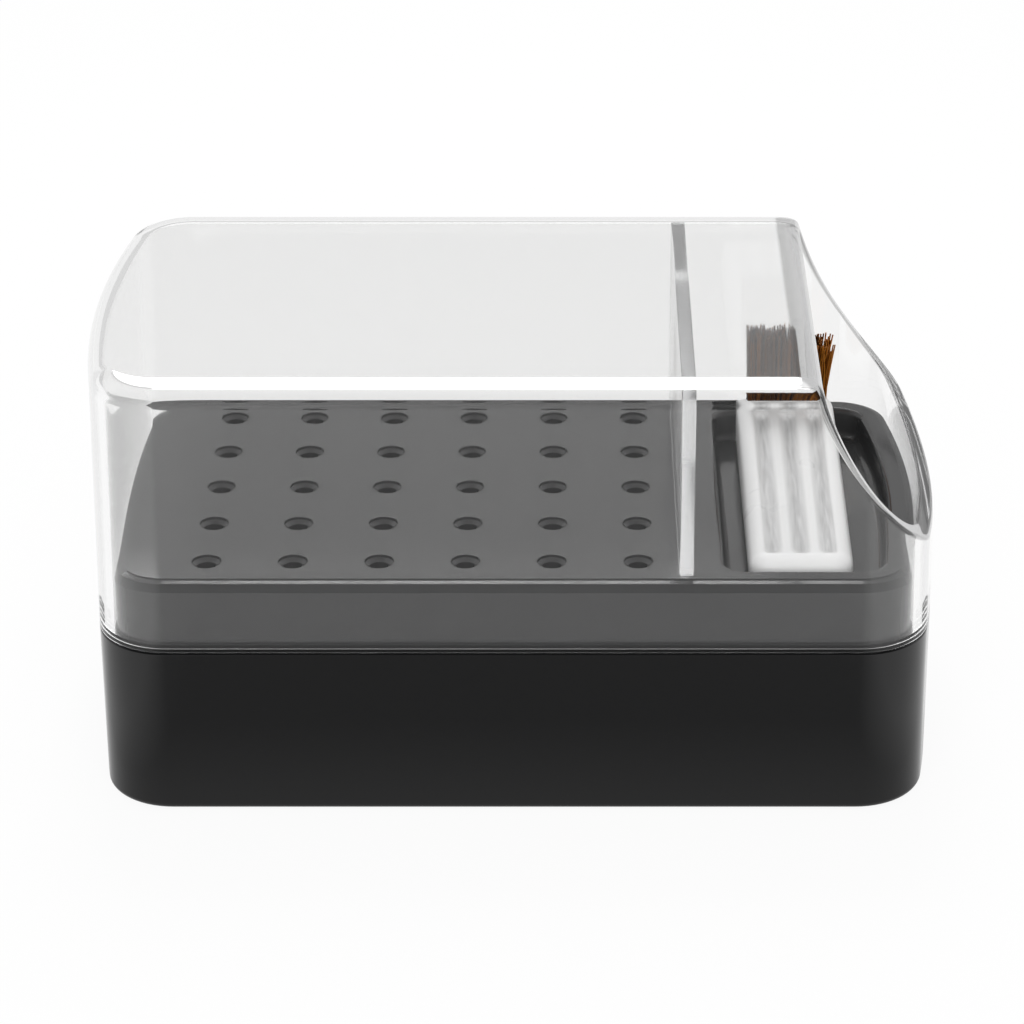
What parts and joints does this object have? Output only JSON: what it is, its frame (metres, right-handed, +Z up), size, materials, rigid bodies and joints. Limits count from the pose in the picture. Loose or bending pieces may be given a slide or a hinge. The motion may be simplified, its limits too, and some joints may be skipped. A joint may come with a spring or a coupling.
{
  "type": "nail drill bit case",
  "caption": "Desktop case for nail drill bits: black tub, socket tray, clear lift-off cover with a scooped end, and a wire cleaning brush in a recess.",
  "frame": {"origin": "centre of the case in plan, on the surface that its feet stand on", "axes": "+X along the case towards its scooped end, +Y from front to back, +Z up"},
  "size_m": [0.12, 0.066, 0.0658],
  "materials": {
    "black_gloss": "gloss",
    "tray_plastic": "satin",
    "clear_plastic": "clear gloss",
    "white_plastic": "gloss",
    "bronze_wire": "drawn wire",
    "foot_rubber": "matte"
  },
  "bodies": {
    "base": {"base_tub": "black_gloss", "bit_tray": "tray_plastic", "foot_front_left": "foot_rubber", "foot_front_right": "foot_rubber", "foot_rear_left": "foot_rubber", "foot_rear_right": "foot_rubber"},
    "cover": {"clear_cover": "clear_plastic", "cover_divider": "clear_plastic"},
    "brush": {"brush_handle": "white_plastic", "brush_bristles": "bronze_wire"}
  },
  "joints": [
    {"name": "cover_lift", "type": "slide", "parent": "base", "child": "cover", "axis": [0, 0, 1], "range_m": [0, 0.07]},
    {"name": "brush_draw", "type": "slide", "parent": "base", "child": "brush", "axis": [0.5373, 0, 0.8434], "range_m": [0, 0.05]}
  ]
}
